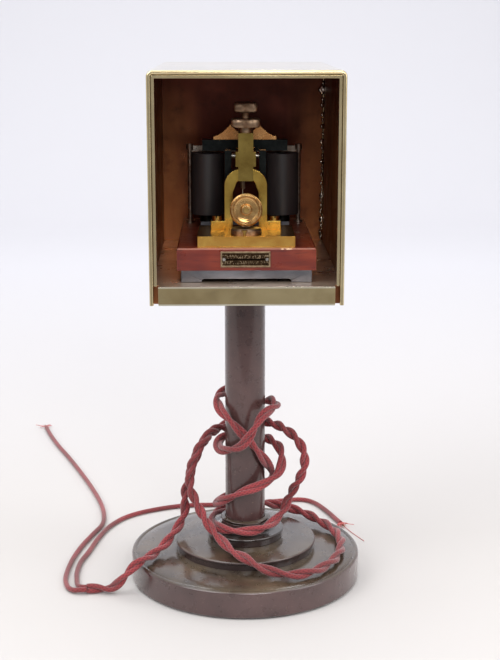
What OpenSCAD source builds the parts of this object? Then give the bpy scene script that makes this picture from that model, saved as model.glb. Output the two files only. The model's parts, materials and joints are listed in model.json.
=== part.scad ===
// Telegraph sounder in a sheet-metal resonator hood, on a round pedestal stand.
// Millimetres, +Z up. The origin is the centre of the base's underside and the
// open mouth of the hood faces -Y.

/* [Stand] */
// Radius of the round base
base_r = 103.4; // [96:0.1:112]
// Height of the base disc at its rim
base_h = 25; // [22:0.5:30]
// Radius of the second step
step_r = 63.7; // [58:0.1:70]
// Radius of the socket that stands on the second step
socket_r = 35; // [32:0.5:40]
// Outer radius of the pole
pole_r = 17.85; // [16:0.05:20]
// Inner radius of the pole
pole_bore_r = 13.5; // [11:0.5:15]
// Radius of the rod that clamps base, pole and head flange together
rod_r = 4; // [3:0.5:5]

/* [Hood] */
// Outside width of the hood
hood_w = 153.6; // [150:0.2:170]
// Outside depth of the hood
hood_d = 235.4; // [225:0.2:250]
// Height of the hood's lower edge above the table
hood_z = 274.9; // [270:0.1:290]
// Height of the hood itself
hood_h = 182.5; // [175:0.5:195]
// Thickness of the hood's sheet
sheet = 1.2; // [0.8:0.1:1.4]
// Radius of the hood's two rounded upper edges
hood_edge_r = 5; // [4:0.5:8]
// Radius of the round bead that stiffens the mouth
bead_r = 1.7; // [1.4:0.1:1.8]
// Height of the tray's turned-down lips
tray_h = 15.1; // [14:0.1:18]

/* [Sounder base] */
// Width of the cast iron base
iron_w = 104.8; // [96:0.2:108]
// Height of the cast iron base
iron_h = 9.8; // [8:0.2:12]
// Width of the mahogany board
board_w = 111.2; // [108:0.2:116]
// Depth of the mahogany board
board_d = 173.9; // [165:0.1:180]
// Height of the mahogany board
board_h = 17.9; // [15:0.1:20]
// Front face of the mahogany board along Y
board_y = -99.3; // [-104:0.1:-98]
// Width of the brass plate
plate_w = 78.4; // [72:0.2:84]
// Depth of the brass plate
plate_d = 61.9; // [60:0.1:62]
// Height of the brass plate
plate_h = 8.8; // [7:0.1:10]

/* [Mechanism] */
// Height of the windlass spindle above the brass plate
spindle_h = 20; // [19:0.5:22]
// Radius of the tension wheel
wheel_r = 13.1; // [11.5:0.1:13.4]
// Half of the outer width of the bridge
arch_half = 17.6; // [17:0.2:19]
// Height of the bridge above the brass plate
arch_h = 49.6; // [49:0.1:50]
// Thickness of the bridge from front to back
arch_t = 11; // [9:0.5:12]
// Radius of the knurled head of the upper stop screw
stop_head_r = 9.6; // [8:0.1:11]
// Radius of the upper stop's lock nut
locknut_r = 11.9; // [10:0.1:13]
// Radius of a coil cover
coil_r = 14.3; // [13:0.1:14.4]
// Distance of each coil's axis from the middle
coil_x = 32.2; // [32:0.1:33]
// Height of a coil cover
coil_h = 52.5; // [50:0.5:53]

/* [Cord] */
// Diameter of the twisted pair
pair_d = 9; // [8.6:0.1:9.2]
// Diameter of one braided conductor
single_d = 4.6; // [4.2:0.1:4.7]

/* [Hidden] */

$fn = 64;
slack = 0.05;              // running clearance round pins and screws
around = [-1, 1];          // the left and right of a mirrored pair

// Stand
felt_t = 1.2;
base_crown = base_h + 2;   // the base's top rises gently towards the middle
step_top = base_crown + 8.2;
step_crown = step_top + 1.8;
socket_top = step_crown + 8;
cove_top = socket_top + 8;
collar_r = 22.4;
collar_t = 3;
recess_r = 22;             // recess for the nut under the base
recess_top = 14;
nut_h = 6;
nut_r = 7.5;

// Hood and tray
hood_top = hood_z + hood_h;
front_y = -hood_d / 2;
back_y = hood_d / 2;
shell_front = front_y + 2 * bead_r;
inner_half = hood_w / 2 - sheet;
floor_z = hood_z + tray_h;
bead_axis = hood_w / 2 - bead_r;
strip_in = 70.7;           // the strip's inner edge, from the middle
strip_out = 72.9;
strip_drop = hood_w / 2 - strip_in;
tray_front_half = 69.8;
flange_t = 8;
flange_r = 40;
flange_z = floor_z - sheet - flange_t;
flange_socket_h = 18;
flange_screw_r = 2;
flange_screw_at = 21;
rod_nut_r = 7;
rod_nut_h = 4.5;
gland_y = 95;

// Sounder
iron_y = board_y + 0.4;
iron_d = board_d - 3;
tunnel_w = 71.8;
tunnel_h = 2.9;
board_z = floor_z + iron_h;
board_top = board_z + board_h;
plate_y = board_y + 4.7;
plate_top = board_top + plate_h;
name_x = -0.8;
name_w = 39.8;
name_h = 12.7;
name_z = board_z + 2.7;
name_t = 0.8;
arch_y = -56.3;            // front face of the bridge
arch_leg = 7;
arch_round = 14;
foot_out = 29;
foot_h = 6.9;
foot_screw_x = 23.5;
foot_screw_r = 2.2;
stop_y = arch_y + 5.9;     // axis of the upper stop screw
stop_r = 2.6;
bar_half = 6.1;
bar_t = 4;
bar_low = 40.1;
bar_top = 78.9;
arm_t = 8;
bush_h = 3.9;
locknut_z = bar_top + bush_h + 0.2;
locknut_h = 7.3;
head_z = 95.2;
head_h = 8.2;
gap = 0.8;                 // play of the lever below the upper stop
lever_low = 51.3;
lever_front_h = 12.1;
lever_half = 4.8;
pivot_y = -26;
pivot_h = 57.5;
arbor_r = 2;
coil_y = 6.5;
armature_low = 59.5;
armature_h = 9.2;
armature_d = 15;
armature_half = 36.4;
saddle_floor = 2;
seat_h = armature_low + armature_h + saddle_floor;
coil_low = 4.6;
core_r = 5;
core_foot_r = 6.8;
yoke_h = 7;
yoke_half = 38.4;
post_y = -75;
pedestal_r = 12.6;
spindle_r = 2;
wheel_y = -86.5;
wheel_t = 4;
drum_y = -39;
thread_r = 0.3;
spring_low = 31.5;
spring_h = 16;
spring_r = 2.2;
terminal_x = 31;
terminal_y = 60;
terminal_stem_r = 2.5;
back_x = 48.5;
back_y_post = 48;

// Finishes
enamel = [0.25, 0.18, 0.17];
old_brass = [0.62, 0.52, 0.30];
bright_brass = [0.80, 0.64, 0.30];
bronze = [0.33, 0.24, 0.18];
iron_grey = [0.45, 0.44, 0.43];
steel = [0.62, 0.62, 0.62];
blued = [0.10, 0.11, 0.14];
ebonite = [0.09, 0.09, 0.09];
mahogany = [0.42, 0.16, 0.11];
crimson = [0.52, 0.15, 0.18];

// Route of the twisted pair: out of the gland, round the pole and over the base
pair_route = [
    [0, 95, 286.7], [0, 95, 262], [1, 90, 236], [2, 77, 211], [0, 58, 190], [-6, 43, 174],
    [-15, 32, 167.5], [-23, 17, 164], [-24.5, 3, 162.5], [-22, -10, 158], [-14.5, -19, 152],
    [-5.5, -23.5, 143], [10.5, -21.5, 123.5], [18, -15.5, 112], [23, -5, 100], [23.5, 6, 89],
    [18.5, 18, 80], [-1.5, 27.5, 68.5], [-14, 25, 65], [-23, 14, 64.5], [-25.5, 2, 67],
    [-21.5, -12, 73.5], [-13, -21.5, 80.5], [9.5, -24, 90.5], [28.5, -15, 99], [32.5, -8, 106],
    [29, 10, 119.5], [20.5, 21, 122], [-1.5, 36, 124.5], [-13, 34, 127.5], [-23.5, 24, 130.5],
    [-31, 11.5, 131], [-41.5, -3, 120.5], [-49, -6, 102.5], [-49.5, -9, 84.5], [-41.5, -16, 68],
    [-29.5, -28.5, 52], [-21, -39, 46], [-11.5, -52, 41.6], [0, -65, 39.7], [23, -77.5, 32.8],
    [37.5, -80, 31.2], [52, -77, 31.2], [65, -66.5, 31.2], [77, -49, 31.2], [85, -26, 31.2],
    [87.5, -2, 31.2], [84.5, 18, 31.2], [77.5, 34, 32], [67, 47, 34], [44, 58, 40],
    [20.5, 51, 48], [7, 43, 51], [-8, 37, 51.5], [-22, 25, 51.5], [-29.5, 7, 51],
    [-27.5, -13, 51.3], [-17.5, -25.5, 51.3], [-1.5, -30.5, 51.5], [14, -26.5, 52],
    [26.5, -12.5, 54.5], [39, 0, 70.5], [49.5, -5, 93], [53, -6, 114.5], [44, -1, 130.5],
    [27, 11, 138.5], [8.5, 24.5, 138], [-13.5, 21, 127.5], [-22, 11, 124.5], [-24.5, -0.5, 122.5],
    [-21.5, -13, 122], [-13, -25, 126.5], [-3.5, -32.5, 132], [9.5, -33.5, 151], [21, -21, 160.5],
    [27, 0, 162], [15.5, 20, 157.5], [6, 29.5, 151], [-3, 38, 142], [-12, 43.5, 132],
    [-20.5, 42, 127], [-34, 25.5, 123.5], [-42, 12, 113.5], [-49, 8, 96.5], [-54, 6, 78.5],
    [-55, 8, 59], [-61, 0.5, 44.5], [-67.5, -11.5, 39], [-82.5, -33, 31.2], [-90, -45, 31],
    [-106, -52, 19.5], [-120, -48, 5.8], [-130, -46, 4.8], [-140.6, -46, 4.8]];

// Route of the longer loose conductor, out to its bare end
long_route = [
    [-140.6, -48.3, 4.8], [-146, -48.6, 4.6], [-153, -45.5, 3.2], [-159, -36, 2.4],
    [-163, -15, 2.4], [-162, 20, 2.4], [-157, 55, 2.4], [-149, 88, 2.4], [-142, 115, 2.4],
    [-143, 145, 2.4], [-150, 180, 2.4], [-163, 224, 2.4], [-180, 274, 2.4], [-199, 326, 2.4],
    [-217, 372, 2.4], [-231, 412, 2.4], [-242, 448, 2.4]];

// Route of the shorter loose conductor, round behind the base
short_route = [
    [-140.6, -43.7, 4.8], [-144, -43.2, 4.7], [-148, -39, 3.6], [-150.5, -32, 2.6],
    [-152.5, -20, 2.4], [-154, -4, 2.4], [-153, 20, 2.4], [-148, 45, 2.4], [-142, 80, 2.4],
    [-133, 112, 2.4], [-117, 138, 2.4], [-92, 156, 2.4], [-60, 168, 2.4], [-22, 170, 2.4],
    [12, 174, 2.4], [40, 181, 2.4], [61, 184, 2.4], [74, 175, 2.4], [85, 152, 2.4],
    [97.5, 115, 2.4]];

// ---------------------------------------------------------------- helpers

// A box given by its lowest and highest corners
module block(low, high) {
    translate(low) cube(high - low);
}

// A cylinder along Y
module along_y(r, y1, y2) {
    translate([0, y1, 0]) rotate([-90, 0, 0]) cylinder(r = r, h = y2 - y1);
}

// A cylinder along X, centred
module along_x(r, half) {
    translate([-half, 0, 0]) rotate([0, 90, 0]) cylinder(r = r, h = 2 * half);
}

// Outline of the hood seen from the front, with its two upper edges rounded
module hood_outline(half, top, r) {
    translate([-half, hood_z]) square([2 * half, top - hood_z - r]);
    translate([-half + r, hood_z]) square([2 * (half - r), top - hood_z]);
    for (s = around) translate([s * (half - r), top - r]) circle(r = r);
}

// Extrudes an outline drawn in X and Z towards +Y
module front_extrude(y1, y2) {
    translate([0, y2, 0]) rotate([90, 0, 0]) linear_extrude(y2 - y1) children();
}

// A slotted cheese-head screw standing on z = 0, with its shank below
module slotted_screw(head_r, head_t, shank_r, shank_l) {
    difference() {
        cylinder(r = head_r, h = head_t);
        block([-0.5, -head_r - 1, head_t - 1.3], [0.5, head_r + 1, head_t + 1]);
    }
    translate([0, 0, -shank_l]) cylinder(r = shank_r, h = shank_l + 0.01);
}

function unit(v) = v / norm(v);
function tangent(p, i) = unit(p[min(i + 1, len(p) - 1)] - p[max(i - 1, 0)]);
function across(u, t) = unit(u - (u * t) * t);

// Directions square to the route, carried along it without twisting
function carried(p) = [
    for (i = 0, u = across([0.3, 1, 0.2], tangent(p, 0));
         i < len(p);
         i = i + 1, u = across(u, tangent(p, min(i, len(p) - 1)))) u];

// A round tube swept along the points of a route
module tube(route, d, sides) {
    last = len(route) - 1;
    side = carried(route);
    rings = [
        for (i = [0 : last])
            for (k = [0 : sides - 1])
                route[i] + d / 2 * (cos(360 * k / sides) * side[i]
                    + sin(360 * k / sides) * cross(tangent(route, i), side[i]))];
    walls = [
        for (i = [0 : last - 1])
            for (k = [0 : sides - 1])
                let (a = i * sides + k, b = i * sides + (k + 1) % sides)
                    each [[a, a + sides, b + sides], [a, b + sides, b]]];
    ends = [
        [for (k = [0 : sides - 1]) k],
        [for (k = [sides - 1 : -1 : 0]) last * sides + k]];
    polyhedron(points = rings, faces = concat(walls, ends));
}

// ---------------------------------------------------------------- stand

// Ring of green baize under the base
module base_felt() {
    color([0.12, 0.22, 0.15])
        difference() {
            cylinder(r = base_r - 4.4, h = felt_t);
            translate([0, 0, -1]) cylinder(r = recess_r + 8, h = felt_t + 2);
        }
}

// Loaded base with a beaded rim, a groove behind the bead, a gently crowned top
// and a recess for the nut
module base_disc() {
    color(enamel)
        rotate_extrude($fn = 128)
            union() {
                polygon([[rod_r + 0.3, recess_top], [recess_r, recess_top],
                    [recess_r, felt_t], [base_r - 1.2, felt_t],
                    [base_r, felt_t + 1.2], [base_r, base_h - 2.5],
                    [base_r - 2.5, base_h], [base_r - 4.6, base_h - 0.8],
                    [base_r - 6.4, base_h], [step_r, base_crown],
                    [rod_r + 0.3, base_crown]]);
                translate([base_r - 2.5, base_h - 2.5]) circle(r = 2.5);
            }
}

// Second step, resting on the base disc, with a rounded lip over its side
module base_step() {
    color(enamel)
        rotate_extrude($fn = 128)
            union() {
                polygon([[rod_r + 0.3, base_crown], [step_r - 1.6, base_crown],
                    [step_r - 1.6, step_top - 1.5], [step_r - 1.5, step_top],
                    [socket_r, step_crown], [rod_r + 0.3, step_crown]]);
                translate([step_r - 1.5, step_top - 1.5]) circle(r = 1.5);
            }
}

// Socket that takes the foot of the pole, with a hollow moulding
module base_socket() {
    cove_r = cove_top - socket_top;
    cove_x = socket_r - 6;
    color(enamel)
        rotate_extrude($fn = 96)
            polygon(concat(
                [[rod_r + 0.3, step_crown], [socket_r - 1.4, step_crown],
                 [socket_r - 1.4, socket_top - 2.6], [socket_r, socket_top - 1.6],
                 [socket_r, socket_top - 0.8], [socket_r - 0.8, socket_top]],
                [for (a = [0 : 15 : 90])
                    [cove_x - cove_r * sin(a), cove_top - cove_r * cos(a)]],
                [[pole_r + slack, cove_top], [pole_r + slack, step_crown + 1.5],
                 [rod_r + 0.3, step_crown + 1.5]]));
}

// Thin ring round the foot of the pole
module pole_collar() {
    color(enamel)
        translate([0, 0, cove_top])
            difference() {
                cylinder(r = collar_r, h = collar_t);
                translate([0, 0, -1]) cylinder(r = pole_r + slack, h = collar_t + 2);
            }
}

module pole_tube() {
    low = step_crown + 1.5;
    color(enamel)
        difference() {
            translate([0, 0, low]) cylinder(r = pole_r, h = flange_z - low);
            translate([0, 0, low - 1]) cylinder(r = pole_bore_r, h = flange_z - low + 2);
        }
}

// Rod from the nut under the base to the nut in the head flange
module tie_rod() {
    low = recess_top - nut_h - 3;
    color(steel)
        translate([0, 0, low]) cylinder(r = rod_r, h = floor_z - sheet - 0.8 - low);
}

module hex_nut(across_r, h) {
    difference() {
        cylinder(r = across_r, h = h, $fn = 6);
        translate([0, 0, -1]) cylinder(r = rod_r + slack, h = h + 2);
    }
}

module tie_rod_nuts() {
    color(steel) {
        translate([0, 0, recess_top - nut_h]) hex_nut(nut_r, nut_h);
        translate([0, 0, flange_z + flange_t - 5]) hex_nut(rod_nut_r, rod_nut_h);
    }
}

// Flange on the head of the pole, screwed under the tray
module head_flange() {
    color(enamel)
        difference() {
            union() {
                translate([0, 0, flange_z]) cylinder(r = flange_r, h = flange_t);
                translate([0, 0, flange_z - flange_socket_h])
                    cylinder(r = 24, h = flange_socket_h + 1);
            }
            translate([0, 0, flange_z - flange_socket_h - 1])
                cylinder(r = pole_r + slack, h = flange_socket_h + 1);
            translate([0, 0, flange_z - 1]) cylinder(r = rod_r + 0.3, h = flange_t + 2);
            translate([0, 0, flange_z + flange_t - 5]) cylinder(r = 9, h = 6);
            for (x = around, y = around)
                translate([x * flange_screw_at, y * flange_screw_at, flange_z - 1])
                    cylinder(r = flange_screw_r + slack, h = flange_t + 2);
        }
}

module flange_screws() {
    color(steel)
        for (x = around, y = around)
            translate([x * flange_screw_at, y * flange_screw_at, floor_z])
                slotted_screw(4, 2.2, flange_screw_r, sheet + flange_t);
}

// ---------------------------------------------------------------- hood

// False floor: a folded tray with its lips turned down
module tray() {
    side_front = front_y + 8;
    color(old_brass)
        difference() {
            union() {
                front_extrude(front_y, back_y - sheet)
                    translate([-tray_front_half, hood_z])
                        square([2 * tray_front_half, tray_h]);
                block([-inner_half, side_front, floor_z - sheet],
                    [inner_half, back_y - sheet, floor_z]);
                block([-inner_half, side_front, hood_z],
                    [inner_half, side_front + sheet, floor_z]);
            }
            block([-tray_front_half + sheet, front_y + sheet, hood_z - 1],
                [tray_front_half - sheet, back_y - 2 * sheet, floor_z - sheet]);
            translate([0, gland_y, floor_z - 5]) cylinder(r = 6.5, h = 10);
            for (x = around, y = around)
                translate([x * flange_screw_at, y * flange_screw_at, floor_z - 5])
                    cylinder(r = flange_screw_r + slack, h = 10);
        }
}

// Top, sides and back of the hood, open at the front and underneath
module hood_shell() {
    color(old_brass)
        difference() {
            front_extrude(shell_front, back_y)
                hood_outline(hood_w / 2, hood_top, hood_edge_r);
            front_extrude(shell_front - 1, back_y - sheet)
                translate([0, -1])
                    hood_outline(inner_half, hood_top - sheet + 1, hood_edge_r - sheet);
        }
}

// Round bead along the two sides and the top of the mouth
module front_bead() {
    bend = hood_edge_r - bead_r;
    y = front_y + bead_r;
    top = hood_top - bead_r;
    color(old_brass) {
        for (s = around)
            translate([s * bead_axis, y, hood_z]) cylinder(r = bead_r, h = top - bend - hood_z);
        translate([0, y, top]) along_x(bead_r, bead_axis - bend);
        for (s = around)
            translate([s * (bead_axis - bend), y, top - bend])
                rotate([90, 0, 0])
                    rotate([0, 0, s < 0 ? 90 : 0])
                        rotate_extrude(angle = 90)
                            translate([bend, 0]) circle(r = bead_r);
    }
}

// Flat strip soldered inside the mouth, behind the bead
module trim_strip() {
    y0 = front_y + 0.5;
    y1 = shell_front;
    y2 = y1 + 4;
    low = floor_z + 0.4;
    top_in = hood_top - strip_drop;
    top_out = hood_top - (hood_w / 2 - strip_out);
    color(old_brass) {
        for (s = around) {
            block([min(s * strip_in, s * strip_out), y0, low],
                [max(s * strip_in, s * strip_out), y2, top_out]);
            block([min(s * strip_in, s * inner_half), y1, low],
                [max(s * strip_in, s * inner_half), y2, hood_top - hood_edge_r]);
        }
        block([-strip_out, y0, top_in], [strip_out, y2, top_out]);
        block([-inner_half + hood_edge_r, y1, top_in],
            [inner_half - hood_edge_r, y2, hood_top - sheet]);
    }
}

// Bush in the floor that the flex leaves by
module cord_grommet() {
    color(ebonite)
        translate([0, gland_y, 0])
            difference() {
                union() {
                    translate([0, 0, floor_z]) cylinder(r = 8.5, h = 2);
                    translate([0, 0, floor_z - sheet - 2]) cylinder(r = 8.5, h = 2);
                    translate([0, 0, floor_z - sheet - 2]) cylinder(r = 6.5, h = sheet + 4);
                }
                translate([0, 0, floor_z - 10]) cylinder(r = 4.75, h = 20);
            }
}

// ---------------------------------------------------------------- sounder base

// Cast iron base with a low tunnel along it
module iron_base() {
    r = 2.4;
    color(iron_grey)
        difference() {
            block([-iron_w / 2, iron_y, floor_z], [iron_w / 2, iron_y + iron_d, board_z]);
            front_extrude(iron_y - 1, iron_y + iron_d + 1) {
                translate([-tunnel_w / 2, floor_z - 1]) square([tunnel_w, tunnel_h - r + 1]);
                translate([-tunnel_w / 2 + r, floor_z - 1])
                    square([tunnel_w - 2 * r, tunnel_h + 1]);
                for (s = around)
                    translate([s * (tunnel_w / 2 - r), floor_z + tunnel_h - r]) circle(r = r);
            }
            board_screw_places() cylinder(r = 2.3, h = 100);
            board_screw_places() cylinder(r = 4.2, h = 3.5);
        }
}

module board_screw_places() {
    for (x = around, y = [iron_y + 16, iron_y + iron_d - 16])
        translate([x * 44, y, floor_z]) children();
}

// Screws up through the iron base into the board
module board_screws() {
    color(steel)
        board_screw_places() {
            translate([0, 0, 0.6]) cylinder(r = 4, h = 2.8);
            translate([0, 0, 3]) cylinder(r = 2.2, h = iron_h + 7);
        }
}

module mahogany_board() {
    c = 1.2;
    color(mahogany)
        difference() {
            union() {
                block([-board_w / 2, board_y, board_z],
                    [board_w / 2, board_y + board_d, board_top - c]);
                translate([0, 0, board_top - c])
                    polyhedron_frustum(board_w, board_y, board_d, c);
            }
            board_screw_places() cylinder(r = 2.2 + slack, h = iron_h + 10.1);
            for (s = around)
                translate([s * foot_screw_x, arch_y + arch_t / 2, board_top - 9])
                    cylinder(r = foot_screw_r + slack, h = 20);
            frame_screw_places() translate([0, 0, -9]) cylinder(r = 1.8 + slack, h = 20);
        }
}

// Chamfered upper edge of the board
module polyhedron_frustum(w, y, d, c) {
    intersection() {
        front_extrude(y, y + d)
            polygon([[-w / 2, 0], [w / 2, 0], [w / 2 - c, c], [-w / 2 + c, c]]);
        rotate([90, 0, 90])
            translate([0, 0, -w / 2])
                linear_extrude(w)
                    polygon([[y, 0], [y + d, 0], [y + d - c, c], [y + c, c]]);
    }
}

// Blank name plate on the front of the board
module name_plate() {
    rim = 1.3;
    color(bright_brass)
        difference() {
            block([name_x - name_w / 2, board_y - name_t, name_z],
                [name_x + name_w / 2, board_y, name_z + name_h]);
            block([name_x - name_w / 2 + rim, board_y - name_t - 1, name_z + rim],
                [name_x + name_w / 2 - rim, board_y - name_t + 0.25, name_z + name_h - rim]);
            name_pin_places() along_y(0.8, -5, 5);
        }
}

module name_pin_places() {
    for (s = around)
        translate([name_x + s * (name_w / 2 - 2.8), board_y, name_z + name_h / 2]) children();
}

module name_plate_pins() {
    color(bright_brass)
        name_pin_places() {
            along_y(1.2, -name_t - 0.5, -name_t + 0.25);
            along_y(0.75, -name_t - 0.1, 0);
        }
}

module brass_plate() {
    color(bright_brass)
        difference() {
            block([-plate_w / 2, plate_y, board_top], [plate_w / 2, plate_y + plate_d, plate_top]);
            for (s = around)
                translate([s * foot_screw_x, arch_y + arch_t / 2, board_top - 1])
                    cylinder(r = foot_screw_r + slack, h = plate_h + 2);
        }
}

// Small headed pin at the front of the plate
module plate_pin() {
    color(bright_brass)
        translate([-1.5, -91.2, plate_top]) {
            cylinder(r = 1.25, h = 3.6);
            translate([0, 0, 3.4]) cylinder(r = 2.6, h = 1);
        }
}

// ---------------------------------------------------------------- bridge and stops

// Sounding bridge: an inverted U on two feet
module bridge_arch() {
    inner = arch_half - arch_leg;
    round_x = arch_half - arch_round;
    round_z = arch_h - arch_round;
    color(old_brass)
        difference() {
            translate([0, 0, plate_top])
                difference() {
                    front_extrude(arch_y, arch_y + arch_t) {
                        translate([-arch_half, 0]) square([2 * arch_half, round_z]);
                        translate([-round_x, 0]) square([2 * round_x, arch_h]);
                        for (s = around) translate([s * round_x, round_z]) circle(r = arch_round);
                        translate([-foot_out, 0]) square([2 * foot_out, foot_h]);
                    }
                    front_extrude(arch_y - 1, arch_y + arch_t + 1)
                        polygon([[-inner, -1], [inner, -1], [inner, 30], [7.4, 38.8],
                            [6.4, 39.8], [-6.4, 39.8], [-7.4, 38.8], [-inner, 30]]);
                    for (s = around)
                        translate([s * foot_screw_x, arch_y + arch_t / 2, -1])
                            cylinder(r = foot_screw_r + slack, h = foot_h + 2);
                }
            gallows_screw_places() along_y(1.4 + slack, -20, 20);
        }
}

module bridge_screws() {
    color(bronze)
        for (s = around)
            translate([s * foot_screw_x, arch_y + arch_t / 2, plate_top + foot_h])
                rotate([0, 0, s * 8])
                    slotted_screw(4.45, 3.7, foot_screw_r, foot_h + plate_h + 8);
}

// Bar that rises in front of the bridge and reaches back over the lever
module gallows_bar() {
    color(old_brass)
        difference() {
            translate([0, 0, plate_top]) {
                block([-bar_half, arch_y - bar_t, bar_low], [bar_half, arch_y, bar_top]);
                block([-bar_half, arch_y - 0.01, bar_top - arm_t],
                    [bar_half, arch_y + 12, bar_top]);
            }
            translate([0, stop_y, plate_top + bar_top - arm_t - 1])
                cylinder(r = stop_r + slack, h = arm_t + 2);
            gallows_screw_places() along_y(1.4 + slack, -bar_t + 0.6, 5);
        }
}

module gallows_screw_places() {
    for (s = around) translate([s * 3.6, arch_y, plate_top + 44.8]) children();
}

// Screws from behind the crown into the gallows bar
module gallows_screws() {
    color(steel)
        gallows_screw_places() {
            along_y(1.4, -bar_t + 0.8, arch_t + 0.1);
            along_y(2.4, arch_t, arch_t + 1.8);
        }
}

module on_stop_axis(z) {
    translate([0, stop_y, plate_top + z]) children();
}

module stop_bush() {
    color(bronze)
        on_stop_axis(bar_top)
            difference() {
                cylinder(r = 6.2, h = bush_h);
                translate([0, 0, -1]) cylinder(r = stop_r + slack, h = bush_h + 2);
            }
}

// Chamfered round disc, for knurled heads and nuts
module chamfered_disc(r, h, c) {
    rotate_extrude($fn = 64)
        polygon([[0, 0], [r - c, 0], [r, c], [r, h - c], [r - c, h], [0, h]]);
}

// Upper stop: plain shank, neck and knurled head
module stop_screw() {
    tip = lever_low + lever_front_h + gap;
    neck = locknut_z + locknut_h + 0.2;
    color(bronze) {
        on_stop_axis(tip) cylinder(r = stop_r, h = neck - tip + 1);
        on_stop_axis(neck) cylinder(r = 3.4, h = head_z - neck + 1);
        on_stop_axis(head_z) chamfered_disc(stop_head_r, head_h, 1.2);
    }
}

module stop_locknut() {
    color(bronze)
        on_stop_axis(locknut_z)
            difference() {
                chamfered_disc(locknut_r, locknut_h, 0.8);
                translate([0, 0, -1]) cylinder(r = stop_r + slack, h = locknut_h + 2);
            }
}

// ---------------------------------------------------------------- lever

// Rocking lever: a broad hammer end, the pivot boss and a seat for the saddle
module lever() {
    color(old_brass)
        difference() {
            translate([0, 0, plate_top]) {
                block([-8.3, arch_y + 0.8, lever_low],
                    [8.3, arch_y + 10.4, lever_low + lever_front_h]);
                rotate([90, 0, 90])
                    translate([0, 0, -lever_half])
                        linear_extrude(2 * lever_half)
                            polygon([[arch_y + 10, 52.2], [-12, 52.2], [-6, 58], [-3, 66],
                                [-1.6, seat_h], [14, seat_h], [14, seat_h + 6.8],
                                [-4, seat_h + 6.8], [-9, 69], [-16, 62.6],
                                [arch_y + 10, 62.6]]);
                translate([0, pivot_y, pivot_h]) along_x(7, 8);
            }
            translate([0, pivot_y, plate_top + pivot_h]) along_x(arbor_r, 20);
            translate([0, stop_y, plate_top + lever_low - 1]) cylinder(r = 2.2, h = 7);
            translate([0, coil_y, plate_top + seat_h - 1]) cylinder(r = 1.8 + slack, h = 20);
        }
}

// Stud under the hammer end that strikes the crown of the bridge
module hammer_stud() {
    color(steel)
        translate([0, stop_y, plate_top + arch_h + 0.05])
            cylinder(r = 2.2, h = lever_low + 6 - arch_h - 0.05);
}

// Upper line of the saddle's left or right arm, from toe to peak
function saddle_arm(s) = [
    for (i = [0 : 6])
        let (t = i / 6)
            [s * (27 - 14.8 * t), 2.8 + 10.4 * pow(t, 1.66)]];

// Brass saddle that carries the armature, with two swept arms
module saddle() {
    edge = 5.2;
    right = saddle_arm(1);
    left = [for (i = [6 : -1 : 0]) saddle_arm(-1)[i]];
    color(bright_brass)
        difference() {
            translate([0, 0, plate_top + armature_low + armature_h])
                front_extrude(0, 13)
                    polygon(concat([[-27, 0], [27, 0]], right,
                        [[7.4, 8], [edge, 7], [edge, saddle_floor],
                         [-edge, saddle_floor], [-edge, 7], [-7.4, 8]], left));
            translate([0, coil_y, plate_top + 60]) cylinder(r = 1.8 + slack, h = 20);
        }
}

// Screw through the lever and the saddle into the armature
module saddle_screw() {
    color(bronze)
        translate([0, coil_y, plate_top + seat_h + 6.8])
            slotted_screw(3.4, 2.4, 1.8, 6.8 + saddle_floor + 6);
}

module armature() {
    color(blued)
        difference() {
            translate([0, 0, plate_top])
                block([-armature_half, coil_y - armature_d / 2, armature_low],
                    [armature_half, coil_y + armature_d / 2, armature_low + armature_h]);
            translate([0, coil_y, plate_top + seat_h - saddle_floor - 6.1])
                cylinder(r = 1.8 + slack, h = 20);
        }
}

module arbor() {
    color(steel)
        translate([0, pivot_y, plate_top + pivot_h]) along_x(arbor_r, 17);
}

// Two pillars on a foot strip, bored for the arbor
module pivot_fork() {
    inner = 11.6;
    outer = 17.4;
    top = pivot_h + 5;
    color(blued)
        difference() {
            union() {
                for (s = around)
                    block([min(s * inner, s * outer), pivot_y - 4, board_top],
                        [max(s * inner, s * outer), pivot_y + 4, plate_top + top]);
                block([-outer, pivot_y - 4, board_top], [outer, pivot_y + 4, board_top + 3]);
            }
            translate([0, pivot_y, plate_top + pivot_h]) along_x(arbor_r + slack, 30);
            for (s = around)
                translate([s * 6, pivot_y, board_top - 1]) cylinder(r = 1.8 + slack, h = 9);
        }
}

// Screws that hold the fork and the yoke to the board
module frame_screw_places() {
    for (s = around) {
        translate([s * 6, pivot_y, board_top]) children();
        translate([s * 14, coil_y, board_top]) children();
    }
}

module frame_screws() {
    color(steel)
        for (s = around) {
            translate([s * 6, pivot_y, board_top + 3]) slotted_screw(3.2, 2.2, 1.8, 3 + 8);
            translate([s * 14, coil_y, board_top + yoke_h])
                slotted_screw(3.2, 2.2, 1.8, yoke_h + 8);
        }
}

// ---------------------------------------------------------------- electromagnet

module yoke() {
    color(iron_grey)
        difference() {
            block([-yoke_half, coil_y - armature_d / 2, board_top],
                [yoke_half, coil_y + armature_d / 2, board_top + yoke_h]);
            for (s = around)
                translate([s * 14, coil_y, board_top - 1]) cylinder(r = 1.8 + slack, h = 9);
        }
}

module on_coil(s, z) {
    translate([s * coil_x, coil_y, z]) children();
}

// Soft iron core on a broader foot
module coil_core(s) {
    low = board_top + yoke_h;
    top = plate_top + coil_low + coil_h + 0.5;
    color(blued) {
        on_coil(s, low) cylinder(r = core_foot_r, h = plate_top + coil_low - low);
        on_coil(s, low) cylinder(r = core_r, h = top - low);
    }
}

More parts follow.
